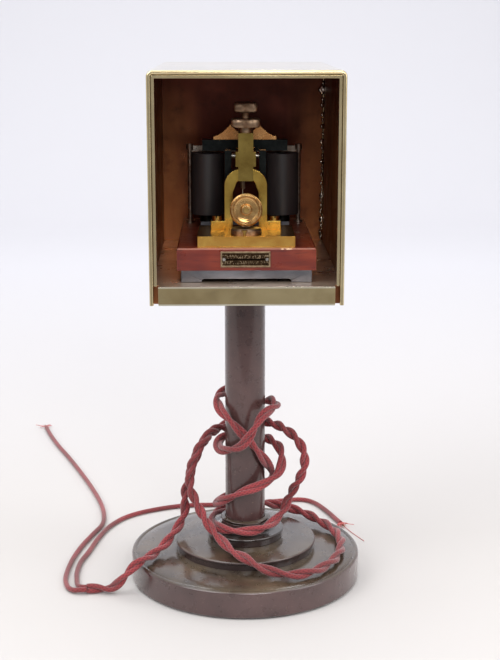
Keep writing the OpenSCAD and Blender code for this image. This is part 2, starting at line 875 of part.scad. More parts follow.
// Bobbin: a tube between two cheeks
module bobbin(s) {
    cheek_r = coil_r - 1.2 - slack;
    cheek_t = 2.6;
    color(ebonite)
        on_coil(s, plate_top + coil_low)
            difference() {
                union() {
                    cylinder(r = cheek_r, h = cheek_t);
                    translate([0, 0, coil_h - cheek_t]) cylinder(r = cheek_r, h = cheek_t);
                    cylinder(r = core_r + 1.2, h = coil_h);
                }
                translate([0, 0, -1]) cylinder(r = core_r + slack, h = coil_h + 2);
            }
}

module winding(s) {
    color([0.45, 0.20, 0.10])
        on_coil(s, plate_top + coil_low + 2.7)
            difference() {
                cylinder(r = coil_r - 2.2, h = coil_h - 5.4);
                translate([0, 0, -1]) cylinder(r = core_r + 1.25, h = coil_h);
            }
}

module coil_cover(s) {
    color(ebonite)
        on_coil(s, plate_top + coil_low)
            difference() {
                cylinder(r = coil_r, h = coil_h);
                translate([0, 0, -1]) cylinder(r = coil_r - 1.2, h = coil_h + 2);
            }
}

// ---------------------------------------------------------------- windlass

// Turned post on a round foot, with a bearing for the spindle
module windlass_post() {
    color(bronze)
        difference() {
            translate([0, post_y, plate_top]) {
                rotate_extrude($fn = 64)
                    polygon([[0, 0], [pedestal_r, 0], [pedestal_r, 2.6],
                        [pedestal_r - 1.4, 4.2], [5.2, 5.4], [4.4, 8], [0, 8]]);
                cylinder(r = 4.4, h = spindle_h);
                translate([0, 0, spindle_h]) along_y(5.4, -5, 12.5);
            }
            translate([0, 0, plate_top + spindle_h]) along_y(spindle_r + slack, -100, 0);
        }
}

module windlass_spindle() {
    color(steel)
        translate([0, 0, plate_top + spindle_h]) along_y(spindle_r, wheel_y - 1.8, drum_y + 5);
}

// Dished hand wheel with a raised rim and a boss
module tension_wheel() {
    color([0.78, 0.60, 0.36])
        translate([0, wheel_y, plate_top + spindle_h])
            rotate([-90, 0, 0])
                rotate_extrude($fn = 96)
                    polygon([[spindle_r, -1], [3.6, -1], [4.1, -0.4], [4.8, 2],
                        [8, 1.9], [10.2, 1.2], [wheel_r - 2.2, 0.1], [wheel_r - 1.2, 0],
                        [wheel_r, 0.9], [wheel_r, wheel_t - 0.9], [wheel_r - 1.2, wheel_t],
                        [4, wheel_t], [4, wheel_t + 1.2], [spindle_r, wheel_t + 1.2]]);
}

// Outer shape of the coiled return spring, with its upper hook
module tension_spring() {
    color(steel)
        translate([-spindle_r - thread_r, drum_y, plate_top + spring_low]) {
            difference() {
                cylinder(r = spring_r, h = spring_h);
                translate([0, 0, -1]) cylinder(r = spring_r - 0.6, h = spring_h);
            }
            translate([0, 0, spring_h - 0.5]) cylinder(r = 0.4, h = 5.1);
        }
}

// Silk thread from the spindle up to the spring
module silk_thread() {
    color([0.85, 0.80, 0.70])
        translate([-spindle_r - thread_r - slack, drum_y, plate_top + spindle_h])
            cylinder(r = thread_r, h = spring_low + spring_h - 1.5 - spindle_h);
}

// ---------------------------------------------------------------- back of the board

module terminal_posts() {
    color(bright_brass)
        for (s = around)
            translate([s * terminal_x, terminal_y, board_top]) {
                cylinder(r = 5.5, h = 2.5);
                cylinder(r = terminal_stem_r, h = 24);
                cylinder(r = 4, h = 11.5);
            }
}

module terminal_nut(s) {
    color(bright_brass)
        translate([s * terminal_x, terminal_y, board_top + 14])
            difference() {
                chamfered_disc(6.5, 6, 0.8);
                translate([0, 0, -1]) cylinder(r = terminal_stem_r + slack, h = 8);
            }
}

// Two slim posts joined by a rail behind the coils
module back_frame() {
    post_top = 387.5;
    color(bronze) {
        for (s = around)
            translate([s * back_x, back_y_post, 0]) {
                translate([0, 0, board_top]) cylinder(r = 1.9, h = post_top - board_top);
                translate([0, 0, post_top - 5]) cylinder(r = 3.2, h = 5);
                translate([0, 0, board_top]) cylinder(r = 4, h = 2);
            }
        block([-back_x, back_y_post - 1, post_top - 6.5], [back_x, back_y_post + 1, post_top - 1.5]);
    }
}

// Coil leads, the link between the coils and the flex's inner ends
module internal_leads() {
    wire_z = plate_top + coil_low - 0.8;
    wire_y = coil_y + 8.2;
    stem_z = board_top + 9;
    rise = single_d / 2;
    color(crimson) {
        for (s = around) {
            tube([[s * coil_x, wire_y, wire_z], [s * coil_x, 30, wire_z - 2],
                [s * (coil_x + 1), 44, stem_z + 1], [s * terminal_x, terminal_y - 4.2, stem_z]],
                1.6, 6);
            tube([[s * terminal_x, terminal_y + 4.2, stem_z - 3],
                [s * (terminal_x - 2), 75, stem_z - 4], [s * 22, 81, board_top - 4],
                [s * 12, 84, floor_z + 14], [s * 4, 91, floor_z + 7],
                [s * (rise + slack), gland_y, floor_z + 2],
                [s * (rise + slack), gland_y, floor_z - 3.2]],
                single_d - slack, 8);
        }
        tube([[-24, wire_y, wire_z], [0, wire_y, wire_z - 0.6], [24, wire_y, wire_z]], 1.6, 6);
    }
}

// ---------------------------------------------------------------- flex

module flex_pair() {
    color(crimson) tube(pair_route, pair_d, 8);
}

module tail_long() {
    color(crimson) tube(long_route, single_d, 8);
}

module tail_short() {
    color(crimson) tube(short_route, single_d, 8);
}

base_felt();
base_disc();
base_step();
base_socket();
pole_collar();
pole_tube();
tie_rod();
tie_rod_nuts();
head_flange();
flange_screws();
tray();
hood_shell();
front_bead();
trim_strip();
cord_grommet();
iron_base();
mahogany_board();
board_screws();
name_plate();
name_plate_pins();
brass_plate();
bridge_arch();
bridge_screws();
gallows_bar();
gallows_screws();
stop_bush();
stop_screw();
stop_locknut();
lever();
hammer_stud();
saddle();
saddle_screw();
armature();
arbor();
pivot_fork();
frame_screws();
yoke();
coil_core(-1);  // coil_core_left
coil_core(1);  // coil_core_right
bobbin(-1);  // bobbin_left
bobbin(1);  // bobbin_right
winding(-1);  // winding_left
winding(1);  // winding_right
coil_cover(-1);  // coil_cover_left
coil_cover(1);  // coil_cover_right
windlass_post();
windlass_spindle();
tension_wheel();
tension_spring();
silk_thread();
plate_pin();
terminal_posts();
terminal_nut(-1);  // terminal_nut_left
terminal_nut(1);  // terminal_nut_right
back_frame();
internal_leads();
flex_pair();
tail_long();
tail_short();
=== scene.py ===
"""Looks of a telegraph sounder in a brass hood on a pedestal stand.

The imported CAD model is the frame. This script gives every CAD node its finish,
builds the flex, the knurled screws, the coil spring, the crumpled collar, the solder
along the hood's seam and the chips in the board's edge, and sets up the studio.
Lengths are in metres.
"""

import json
import math
import random

import bmesh
import bpy
from mathutils import Matrix, Vector


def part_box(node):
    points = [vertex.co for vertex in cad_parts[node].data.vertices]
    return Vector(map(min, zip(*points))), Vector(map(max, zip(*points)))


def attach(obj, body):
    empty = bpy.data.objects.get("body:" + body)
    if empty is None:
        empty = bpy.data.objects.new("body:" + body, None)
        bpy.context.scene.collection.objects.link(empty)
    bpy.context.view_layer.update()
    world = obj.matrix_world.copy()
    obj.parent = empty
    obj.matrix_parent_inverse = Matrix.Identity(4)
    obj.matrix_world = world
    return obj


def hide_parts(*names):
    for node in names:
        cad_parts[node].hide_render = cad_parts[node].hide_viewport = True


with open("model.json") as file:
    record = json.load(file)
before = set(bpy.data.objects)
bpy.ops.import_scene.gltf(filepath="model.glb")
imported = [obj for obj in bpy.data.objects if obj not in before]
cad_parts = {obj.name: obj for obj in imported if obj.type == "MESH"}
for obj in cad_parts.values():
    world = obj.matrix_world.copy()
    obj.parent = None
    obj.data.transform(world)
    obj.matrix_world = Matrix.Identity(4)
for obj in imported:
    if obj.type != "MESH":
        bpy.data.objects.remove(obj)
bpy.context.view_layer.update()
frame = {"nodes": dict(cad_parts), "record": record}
NODES = frame["nodes"]
STAND = "stand"
TURN = 2 * math.pi

# Camera
LENS = 72.63
CAMERA_AT = (-0.0144, -1.1459, 0.4906)
CAMERA_PITCH = math.radians(12.89)
CAMERA_YAW = math.radians(0.94)

# Flex
PAIR_D = 0.009
SINGLE_D = 0.0046
# How the pair is laid up: (distance along it, length of one full turn there)
PAIR_LAY = [(0, .034), (.16, .034), (.20, .07), (.31, .07), (.36, .08), (.44, .08), (.50, .030),
            (.66, .030), (.70, .056), (.86, .050), (.95, .036), (1.03, .066), (1.13, .060),
            (1.17, .029), (1.27, .029), (1.32, .06), (1.42, .06), (1.48, .030), (1.59, .034),
            (1.64, .046), (1.77, .046)]
LONG_LENGTH = 0.53
SHORT_LENGTH = 0.46
PAIR_ROUTE = [
    (0, .095, .2867), (0, .095, .262), (.001, .09, .236), (.002, .077, .211), (0, .058, .19),
    (-.006, .043, .174), (-.015, .032, .1675), (-.023, .017, .164), (-.0245, .003, .1625),
    (-.022, -.01, .158), (-.0145, -.019, .152), (-.0055, -.0235, .143), (.003, -.024, .1335),
    (.0105, -.0215, .1235), (.018, -.0155, .112), (.023, -.005, .1), (.0235, .006, .089),
    (.0185, .018, .08), (.0095, .026, .073), (-.0015, .0275, .0685), (-.014, .025, .065),
    (-.023, .014, .0645), (-.0255, .002, .067), (-.0215, -.012, .0735), (-.013, -.0215, .0805),
    (-.0025, -.0245, .0865), (.0095, -.024, .0905), (.019, -.0205, .094), (.0285, -.015, .099),
    (.0325, -.008, .106), (.033, 0, .1135), (.029, .01, .1195), (.0205, .021, .122),
    (.0095, .031, .123), (-.0015, .036, .1245), (-.013, .034, .1275), (-.0235, .024, .1305),
    (-.031, .0115, .131), (-.036, .002, .127), (-.0415, -.003, .1205), (-.0455, -.005, .1115),
    (-.049, -.006, .1025), (-.05, -.007, .0935), (-.0495, -.009, .0845), (-.046, -.012, .0765),
    (-.0415, -.016, .068), (-.0365, -.0205, .0595), (-.0295, -.0285, .052), (-.021, -.039, .046),
    (-.0115, -.052, .0416), (0, -.065, .0397), (.011, -.0735, .036), (.023, -.0775, .0328),
    (.0375, -.08, .0312), (.052, -.077, .0312), (.065, -.0665, .0312), (.077, -.049, .0312),
    (.085, -.026, .0312), (.0875, -.002, .0312), (.0845, .018, .0312), (.0775, .034, .032),
    (.067, .047, .034), (.056, .055, .037), (.044, .058, .04), (.032, .056, .044),
    (.0205, .051, .048), (.007, .043, .051), (-.008, .037, .0515), (-.022, .025, .0515),
    (-.0295, .007, .051), (-.0275, -.013, .0513), (-.0175, -.0255, .0513),
    (-.0015, -.0305, .0515), (.014, -.0265, .052), (.0265, -.0125, .0545), (.035, -.003, .061),
    (.039, 0, .0705), (.044, -.003, .082), (.0495, -.005, .093), (.053, -.006, .104),
    (.053, -.006, .1145), (.05, -.004, .123), (.044, -.001, .1305), (.036, .003, .136),
    (.027, .011, .1385), (.0185, .019, .1385), (.0085, .0245, .138), (-.0025, .025, .133),
    (-.0135, .021, .1275), (-.022, .011, .1245), (-.0245, -.0005, .1225), (-.0215, -.013, .122),
    (-.013, -.025, .1265), (-.0035, -.0325, .132), (.004, -.0355, .142), (.0095, -.0335, .151),
    (.0145, -.029, .1575), (.021, -.021, .1605), (.0265, -.011, .1605), (.027, 0, .162),
    (.0225, .011, .161), (.0155, .02, .1575), (.006, .0295, .151), (-.003, .038, .142),
    (-.012, .0435, .132), (-.0205, .042, .127), (-.028, .0345, .125), (-.034, .0255, .1235),
    (-.038, .017, .1195), (-.042, .012, .1135), (-.0455, .009, .106), (-.049, .008, .0965),
    (-.051, .007, .0875), (-.054, .006, .0785), (-.0555, .006, .069), (-.055, .008, .059),
    (-.057, .008, .0505), (-.061, .0005, .0445), (-.0675, -.0115, .039), (-.075, -.022, .0335),
    (-.0825, -.033, .0312), (-.09, -.045, .031), (-.098, -.0505, .0275), (-.106, -.052, .0195),
    (-.1125, -.051, .0115), (-.12, -.048, .0058), (-.13, -.046, .0048), (-.1406, -.046, .0048),
]
LONG_ROUTE = [
    (-.1406, -.0483, .0048), (-.146, -.0486, .0046), (-.153, -.0455, .0032),
    (-.159, -.036, .0024), (-.163, -.015, .0024), (-.162, .02, .0024), (-.157, .055, .0024),
    (-.149, .088, .0024), (-.142, .115, .0024), (-.143, .145, .0024), (-.15, .18, .0024),
    (-.163, .224, .0024), (-.18, .274, .0024), (-.199, .326, .0024), (-.217, .372, .0024),
    (-.231, .412, .0024), (-.242, .448, .0024),
]
SHORT_ROUTE = [
    (-.1406, -.0437, .0048), (-.144, -.0432, .0047), (-.148, -.039, .0036),
    (-.1505, -.032, .0026), (-.1525, -.02, .0024), (-.154, -.004, .0024), (-.153, .02, .0024),
    (-.148, .045, .0024), (-.142, .08, .0024), (-.133, .112, .0024), (-.117, .138, .0024),
    (-.092, .156, .0024), (-.06, .168, .0024), (-.022, .17, .0024), (.012, .174, .0024),
    (.04, .181, .0024), (.061, .184, .0024), (.074, .175, .0024), (.085, .152, .0024),
    (.0975, .115, .0024),
]
# Where one thread of the short conductor's braid trails off
SHORT_THREAD = [(.103, .103, .0009), (.110, .087, .0005), (.1167, .0719, .0005)]


# ---------------------------------------------------------------- mesh helpers


def new_piece(name, mesh, body, slot, *stands_for):
    """Links a mesh as a piece that rides on a body and shows for some CAD nodes."""
    piece = bpy.data.objects.new(name, mesh)
    bpy.context.scene.collection.objects.link(piece)
    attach(piece, body)
    if stands_for:
        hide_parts(*stands_for)
    return piece


def smooth(mesh):
    """The same mesh, shaded smooth."""
    mesh.shade_smooth()
    return mesh


def smooth_line(points, step):
    """A smooth curve through the points, as points about a step apart."""
    knots = [Vector(p) for p in points]
    knots = [2 * knots[0] - knots[1], *knots, 2 * knots[-1] - knots[-2]]
    line = []
    for a, b, c, d in zip(knots, knots[1:], knots[2:], knots[3:]):
        count = max(2, round((c - b).length / step))
        for i in range(count):
            t = i / count
            line.append(0.5 * (2 * b + (c - a) * t + (2 * a - 5 * b + 4 * c - d) * t**2
                               + (3 * b - a - 3 * c + d) * t**3))
    line.append(knots[-2])
    return line


def frames_along(line):
    """(point, side, up) at each point, with the side carried along without twisting."""
    found = []
    side = Vector((0.3, 1, 0.2))
    for i, point in enumerate(line):
        ahead = (line[min(i + 1, len(line) - 1)] - line[max(i - 1, 0)]).normalized()
        side = (side - side.dot(ahead) * ahead).normalized()
        found.append((point, side.copy(), ahead.cross(side)))
    return found


def distances(line):
    """Distance along the line at each of its points."""
    total = [0.0]
    for a, b in zip(line, line[1:]):
        total.append(total[-1] + (b - a).length)
    return total


def blend(table, at):
    """The value at a place in a table of (place, value), in straight steps."""
    for (a, low), (b, high) in zip(table, table[1:]):
        if at <= b:
            return low + (high - low) * (at - a) / (b - a)
    return table[-1][1]


def twisted(line, offset, lay, start):
    """The centreline of one strand that winds round a line."""
    strand = []
    turn = start
    before = 0.0
    for (point, side, up), along in zip(frames_along(line), distances(line)):
        turn += TURN * (along - before) / blend(lay, along)
        before = along
        strand.append(point + offset * (math.cos(turn) * side + math.sin(turn) * up))
    return strand


def tubes(name, lines, radius, sides=12, radius_at=None):
    """One mesh of closed tubes along lines. Its UVs are metres along and turns round."""
    build = bmesh.new()
    uv = build.loops.layers.uv.new("along_and_round")
    for line in lines:
        rings = []
        along = distances(line)
        for i, (point, side, up) in enumerate(frames_along(line)):
            r = radius if radius_at is None else radius * radius_at(along[i] / along[-1])
            rings.append([
                build.verts.new(point + r * (math.cos(TURN * k / sides) * side
                                             + math.sin(TURN * k / sides) * up))
                for k in range(sides)])
        for i in range(len(rings) - 1):
            for k in range(sides):
                n = (k + 1) % sides
                face = build.faces.new((rings[i][k], rings[i][n],
                                        rings[i + 1][n], rings[i + 1][k]))
                corners = ((i, k), (i, k + 1), (i + 1, k + 1), (i + 1, k))
                for loop, (ring, turn) in zip(face.loops, corners):
                    loop[uv].uv = (along[ring], turn / sides)
        build.faces.new(rings[0][::-1])
        build.faces.new(rings[-1])
    mesh = bpy.data.meshes.new(name)
    build.to_mesh(mesh)
    build.free()
    return smooth(mesh)


def lathe(name, profile, segments, ripple=0.0, teeth=0, wave=None):
    """A closed turned shape about Z from (radius, height, rippled) points, axis to axis."""
    build = bmesh.new()
    rings = []
    for radius, height, rippled in profile:
        ring = []
        for k in range(segments):
            turn = TURN * k / segments
            r = radius
            z = height
            if rippled and teeth:
                r -= ripple * (0.5 - 0.5 * math.cos(teeth * turn))
            if rippled and wave:
                dr, dz = wave(turn)
                r += dr
                z += dz
            ring.append(build.verts.new((r * math.cos(turn), r * math.sin(turn), z)))
        rings.append(ring)
    for low, high in zip(rings, rings[1:] + rings[:1]):
        for k in range(segments):
            n = (k + 1) % segments
            build.faces.new((low[k], low[n], high[n], high[k]))
    bmesh.ops.recalc_face_normals(build, faces=build.faces)
    mesh = bpy.data.meshes.new(name)
    build.to_mesh(mesh)
    build.free()
    return smooth(mesh)


def bevel(piece, width, sharpest):
    """Rounds the edges that turn by more than an angle in degrees."""
    edges = piece.modifiers.new("edges", "BEVEL")
    edges.width = width
    edges.segments = 2
    edges.limit_method = "ANGLE"
    edges.angle_limit = math.radians(sharpest)
    edges.harden_normals = True


def soften(node, width):
    """Rounds a CAD node's edges with modifiers and smooths its curved faces."""
    mesh = node.data
    if "custom_normal" in mesh.attributes:
        mesh.attributes.remove(mesh.attributes["custom_normal"])
    mesh.shade_smooth()
    weld = node.modifiers.new("weld", "WELD")
    weld.merge_threshold = 0.000005
    bevel(node, width, 35)


def middle(node):
    """The middle of a CAD node's box."""
    low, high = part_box(node)
    return (low + high) / 2


# ---------------------------------------------------------------- finishes


def tone(red, green, blue):
    """A colour given as it looks on a screen, as linear light."""
    def linear(value):
        v = value / 255
        return v / 12.92 if v <= 0.04045 else ((v + 0.055) / 1.055) ** 2.4
    return (linear(red), linear(green), linear(blue), 1)


class Finish:
    """A procedural material, and short ways to add nodes to it."""

    def __init__(self, name, rough=0.4, metal=0.0, coat=0.0, coat_rough=0.1):
        self.material = bpy.data.materials.new(name)
        self.material.use_nodes = True
        self.tree = self.material.node_tree
        self.surface = self.tree.nodes["Principled BSDF"]
        self.place = self.node("ShaderNodeTexCoord").outputs["Object"]
        self.surface.inputs["Roughness"].default_value = rough
        self.surface.inputs["Metallic"].default_value = metal
        self.surface.inputs["Coat Weight"].default_value = coat
        self.surface.inputs["Coat Roughness"].default_value = coat_rough

    def node(self, kind):
        return self.tree.nodes.new(kind)

    def put(self, value, socket):
        """Links an output, or sets a plain value."""
        if isinstance(value, bpy.types.NodeSocket):
            self.tree.links.new(value, socket)
        else:
            socket.default_value = value

    def stretched(self, scale):
        mapping = self.node("ShaderNodeMapping")
        self.put(self.place, mapping.inputs["Vector"])
        mapping.inputs["Scale"].default_value = scale
        return mapping.outputs["Vector"]

    def noise(self, scale, detail=4.0, stretch=(1, 1, 1), warp=0.0, rough=0.55):
        noise = self.node("ShaderNodeTexNoise")
        self.put(self.stretched(stretch), noise.inputs["Vector"])
        noise.inputs["Scale"].default_value = scale
        noise.inputs["Detail"].default_value = detail
        noise.inputs["Distortion"].default_value = warp
        noise.inputs["Roughness"].default_value = rough
        return noise.outputs["Fac"]

    def ramp(self, value, *stops):
        """Colours by (position, colour) stops."""
        ramp = self.node("ShaderNodeValToRGB")
        elements = ramp.color_ramp.elements
        while len(elements) < len(stops):
            elements.new(0.5)
        for element, (position, colour) in zip(elements, stops):
            element.position = position
            element.color = colour
        self.put(value, ramp.inputs["Fac"])
        return ramp.outputs["Color"]

    def fade(self, value, low, high, start=0.0, end=1.0):
        """A value re-ranged from low..high to start..end, clamped."""
        reach = self.node("ShaderNodeMapRange")
        self.put(value, reach.inputs["Value"])
        reach.inputs["From Min"].default_value = low
        reach.inputs["From Max"].default_value = high
        reach.inputs["To Min"].default_value = start
        reach.inputs["To Max"].default_value = end
        return reach.outputs["Result"]

    def maths(self, operation, a, b=0.0):
        maths = self.node("ShaderNodeMath")
        maths.operation = operation
        self.put(a, maths.inputs[0])
        self.put(b, maths.inputs[1])
        return maths.outputs["Value"]

    def mix(self, factor, a, b):
        mix = self.node("ShaderNodeMix")
        mix.data_type = "RGBA"
        colour_a, colour_b, colour_out = 6, 7, 2
        self.put(factor, mix.inputs["Factor"])
        self.put(a, mix.inputs[colour_a])
        self.put(b, mix.inputs[colour_b])
        return mix.outputs[colour_out]

    def axis(self, letter):
        parts = self.node("ShaderNodeSeparateXYZ")
        self.put(self.place, parts.inputs["Vector"])
        return parts.outputs[letter]

    def colour(self, value):
        self.put(value, self.surface.inputs["Base Color"])

    def rough(self, value):
        self.put(value, self.surface.inputs["Roughness"])

    def bump(self, height, depth, strength=1.0):
        bump = self.node("ShaderNodeBump")
        bump.inputs["Strength"].default_value = strength
        bump.inputs["Distance"].default_value = depth
        self.put(height, bump.inputs["Height"])
        before = self.surface.inputs["Normal"]
        if before.is_linked:
            self.put(before.links[0].from_socket, bump.inputs["Normal"])
        self.put(bump.outputs["Normal"], before)


def enamel(name, coat=1.0, coat_rough=0.15, lip=None):
    """Dark brown stoving enamel, glossy, rippled and specked, with painted light: upward faces
    lighter and more olive than the sides, and painted shade just below a lip's height.
    """
    f = Finish(name, rough=0.3, coat=coat, coat_rough=coat_rough)
    f.surface.inputs["Specular IOR Level"].default_value = 0.35
    patches = f.noise(30, 5)
    parts = f.node("ShaderNodeSeparateXYZ")
    f.put(f.node("ShaderNodeNewGeometry").outputs["Normal"], parts.inputs["Vector"])
    # Painted light: upward faces take a lighter, more olive copy of the enamel; the sides keep a
    # darker, redder copy.
    sides = f.ramp(patches, (0.35, tone(60, 40, 39)), (0.7, tone(84, 60, 58)))
    painted_lit_tops = f.ramp(patches, (0.35, tone(52, 42, 34)), (0.7, tone(92, 78, 62)))
    base = f.mix(f.fade(parts.outputs["Z"], 0.5, 0.9), sides, painted_lit_tops)
    specks = f.noise(620, 3)
    base = f.mix(f.fade(specks, 0.64, 0.74, 0, 0.6), base, tone(132, 106, 94))
    if lip:
        # Painted shade: the enamel turns near black in a thin band just below the lip, where shade
        # falls under it.
        painted_lip_shade = f.fade(f.axis("Z"), lip - 0.0022, lip - 0.0008, 0.75, 0)
        base = f.mix(painted_lip_shade, base, tone(30, 19, 17))
    f.colour(base)
    f.rough(f.fade(f.noise(120, 4), 0.3, 0.7, 0.24, 0.38))
    f.bump(f.noise(30, 2), 0.0008, 0.04)
    f.bump(f.noise(420, 3), 0.00018, 0.12)
    return f.material


def brass_sheet(name, light, dark, edges=()):
    """Aged lacquered sheet brass, clouded and finely scratched, with pale lines at the heights
    given: painted highlight, and brass rubbed bright.
    """
    f = Finish(name, metal=1.0, coat=0.6, coat_rough=0.06)
    clouds = f.noise(22, 5, warp=0.4)
    base = f.ramp(clouds, (0.32, dark), (0.68, light))
    stains = f.noise(160, 5)
    base = f.mix(f.fade(stains, 0.6, 0.78, 0, 0.35), base, dark)
    # Painted highlight with edge wear: a near-white line at each height given.
    for height in edges:
        off = f.maths("ABSOLUTE", f.maths("SUBTRACT", f.axis("Z"), height))
        base = f.mix(f.fade(off, 0.0013, 0.0006, 0, 0.9), base, tone(255, 246, 222))
    f.colour(base)
    f.rough(f.fade(f.noise(60, 5), 0.3, 0.7, 0.13, 0.24))
    f.bump(f.noise(900, 3, (1, 1, 0.12)), 0.00004, 0.25)
    return f.material


def hood_inside():
    """Browned lacquer inside the hood, maroon in the middle, with a painted reflection that makes
    the side walls below the top a paler orange-brown.
    """
    f = Finish("hood_inside", metal=0.8, coat=0.15, coat_rough=0.25)
    clouds = f.noise(13, 5, (1, 1, 0.45), warp=0.6)
    maroon = f.ramp(clouds, (0.3, tone(72, 29, 19)), (0.7, tone(126, 56, 36)))
    # Painted reflection: this paler copy of the lacquer goes on the side walls below the top.
    painted_glow = f.ramp(clouds, (0.3, tone(104, 56, 32)), (0.7, tone(190, 120, 72)))
    out = f.maths("ABSOLUTE", f.axis("X"))
    side = f.fade(f.maths("ADD", out, f.maths("MULTIPLY", clouds, 0.02)), 0.048, 0.072)
    low = f.fade(f.maths("ADD", f.axis("Z"), f.maths("MULTIPLY", clouds, 0.05)),
                 0.47, 0.425)
    base = f.mix(f.maths("MULTIPLY", side, low), maroon, painted_glow)
    stains = f.noise(90, 6)
    f.colour(f.mix(f.fade(stains, 0.55, 0.75, 0, 0.45), base, tone(60, 32, 22)))
    f.rough(f.fade(f.noise(50, 5), 0.3, 0.7, 0.26, 0.46))
    f.bump(f.noise(20, 3, (1, 1, 0.4)), 0.0015, 0.25)
    f.bump(f.noise(700, 3, (1, 1, 0.1)), 0.0001, 0.25)
    return f.material


def floor_lacquer():
    """The worn floor of the hood, paler where things have slid over it."""
    f = Finish("hood_floor", metal=0.8)
    clouds = f.noise(24, 6, warp=0.5)
    base = f.ramp(clouds, (0.3, tone(180, 156, 134)), (0.7, tone(230, 212, 192)))
    f.colour(f.mix(f.fade(f.noise(140, 5), 0.58, 0.76, 0, 0.4), base, tone(128, 92, 70)))
    f.rough(f.fade(f.noise(50, 5), 0.3, 0.7, 0.24, 0.4))
    f.bump(f.noise(30, 3), 0.0012, 0.25)
    return f.material


def brass(name, light, dark, rough_low=0.14, rough_high=0.26):
    """Solid brass, a little tarnished, with a fine even grain."""
    f = Finish(name, metal=1.0)
    clouds = f.noise(60, 4, warp=0.3)
    base = f.ramp(clouds, (0.3, dark), (0.7, light))
    spots = f.noise(420, 4)
    f.colour(f.mix(f.fade(spots, 0.62, 0.8, 0, 0.5), base, dark))
    f.rough(f.fade(f.noise(200, 4), 0.3, 0.7, rough_low, rough_high))
    f.bump(f.noise(70, 2), 0.0006, 0.12)
    f.bump(f.noise(2200, 2), 0.00004, 0.2)
    return f.material


def turned_brass():
    """The hand wheel's coppery brass, with the rings left by turning."""
    f = Finish("wheel_brass", metal=1.0)
    centre = middle("tension_wheel")
    x = f.maths("SUBTRACT", f.axis("X"), centre.x)
    z = f.maths("SUBTRACT", f.axis("Z"), centre.z)
    out = f.maths("SQRT", f.maths("ADD", f.maths("MULTIPLY", x, x), f.maths("MULTIPLY", z, z)))
    clouds = f.noise(110, 4, warp=0.5)
    f.colour(f.ramp(clouds, (0.3, tone(160, 118, 70)), (0.7, tone(206, 166, 110))))
    f.rough(f.fade(clouds, 0.3, 0.7, 0.16, 0.3))
    ring_pitch = 0.0013
    f.bump(f.maths("SINE", f.maths("MULTIPLY", out, TURN / ring_pitch)), 0.00005, 0.5)
    return f.material


def bronze():
    """Dark, dull bronze of the knurled screws."""
    f = Finish("dark_bronze", metal=0.95)
    clouds = f.noise(180, 4)
    f.colour(f.ramp(clouds, (0.3, tone(112, 90, 72)), (0.55, tone(156, 130, 106)),
                    (0.75, tone(190, 166, 140))))
    f.rough(f.fade(f.noise(400, 3), 0.3, 0.7, 0.3, 0.44))
    f.bump(f.noise(1500, 3), 0.00005, 0.3)
    return f.material


def steel(name, light, dark, rough=0.35):
    """Ground or blued steel, faintly mottled."""
    f = Finish(name, metal=0.95)
    f.colour(f.ramp(f.noise(240, 5), (0.3, dark), (0.7, light)))
    f.rough(f.fade(f.noise(500, 3), 0.3, 0.7, rough - 0.08, rough + 0.1))
    f.bump(f.noise(1800, 3), 0.00006, 0.3)
    return f.material


def cast_iron():
    """Grey machined casting with a faint brown bloom."""
    f = Finish("cast_iron", metal=0.85)
    base = f.ramp(f.noise(60, 5, (0.5, 1, 1)), (0.3, tone(90, 91, 97)), (0.7, tone(136, 136, 142)))
    f.colour(f.mix(f.fade(f.noise(45, 5), 0.56, 0.76, 0, 0.35), base, tone(104, 82, 70)))
    f.rough(f.fade(f.noise(350, 4), 0.3, 0.7, 0.3, 0.46))
    f.bump(f.noise(600, 5, rough=0.7), 0.00015, 0.4)
    return f.material


def ebonite():
    """Satin black hard rubber, faintly browned and dusty."""
    f = Finish("ebonite")
    f.colour(f.ramp(f.noise(50, 4, (1, 1, 0.3)), (0.3, tone(32, 30, 32)), (0.7, tone(50, 45, 46))))
    f.rough(f.fade(f.noise(120, 4), 0.3, 0.7, 0.38, 0.5))
    f.bump(f.noise(1400, 3), 0.00004, 0.3)
    return f.material


def mahogany():
    """French polished mahogany with ribboned grain along the board's front."""
    f = Finish("mahogany", coat=0.35, coat_rough=0.14)
    grain = f.noise(12, 5, (1.2, 10, 10), warp=0.5)
    base = f.ramp(grain, (0.3, tone(86, 24, 12)), (0.5, tone(114, 38, 20)),
                  (0.72, tone(142, 60, 34)))
    pores = f.noise(900, 2, (0.12, 1, 1))
    base = f.mix(f.fade(pores, 0.6, 0.72, 0, 0.5), base, tone(50, 18, 13))
    low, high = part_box("mahogany_board")
    shade = f.fade(f.noise(24, 3, (1, 0.4, 0.4)), 0.42, 0.66, 0, 0.55)
    base = f.mix(shade, base, tone(74, 22, 28))
    # A pale line along the top front edge: painted highlight, and worn polish.
    worn = f.maths("MULTIPLY", f.fade(f.axis("Z"), high.z - 0.0011, high.z - 0.0005),
                   f.fade(f.axis("Y"), low.y + 0.0011, low.y + 0.0005))
    f.colour(f.mix(f.maths("MULTIPLY", worn, 0.6), base, tone(206, 150, 122)))
    f.rough(f.fade(f.noise(90, 4), 0.3, 0.7, 0.25, 0.42))
    f.bump(f.noise(700, 2, (0.12, 1, 1)), 0.00006, 0.3)
    f.bump(f.noise(50, 3), 0.0006, 0.15)
    return f.material


def chipped_wood():
    """Pale bare wood where the polish has chipped."""
    f = Finish("chipped_wood", rough=0.7)
    f.colour(f.ramp(f.noise(900, 4, (0.3, 1, 1)), (0.3, tone(190, 130, 96)),
                    (0.7, tone(236, 206, 170))))
    f.bump(f.noise(1500, 3), 0.0002, 0.5)
    return f.material


def baize():
    """Green baize under the base."""
    f = Finish("baize", rough=0.95)
    f.surface.inputs["Sheen Weight"].default_value = 0.4
    f.colour(f.ramp(f.noise(600, 4), (0.3, tone(24, 48, 34)), (0.7, tone(40, 74, 52))))
    f.bump(f.noise(2500, 3), 0.0003, 0.6)
    return f.material


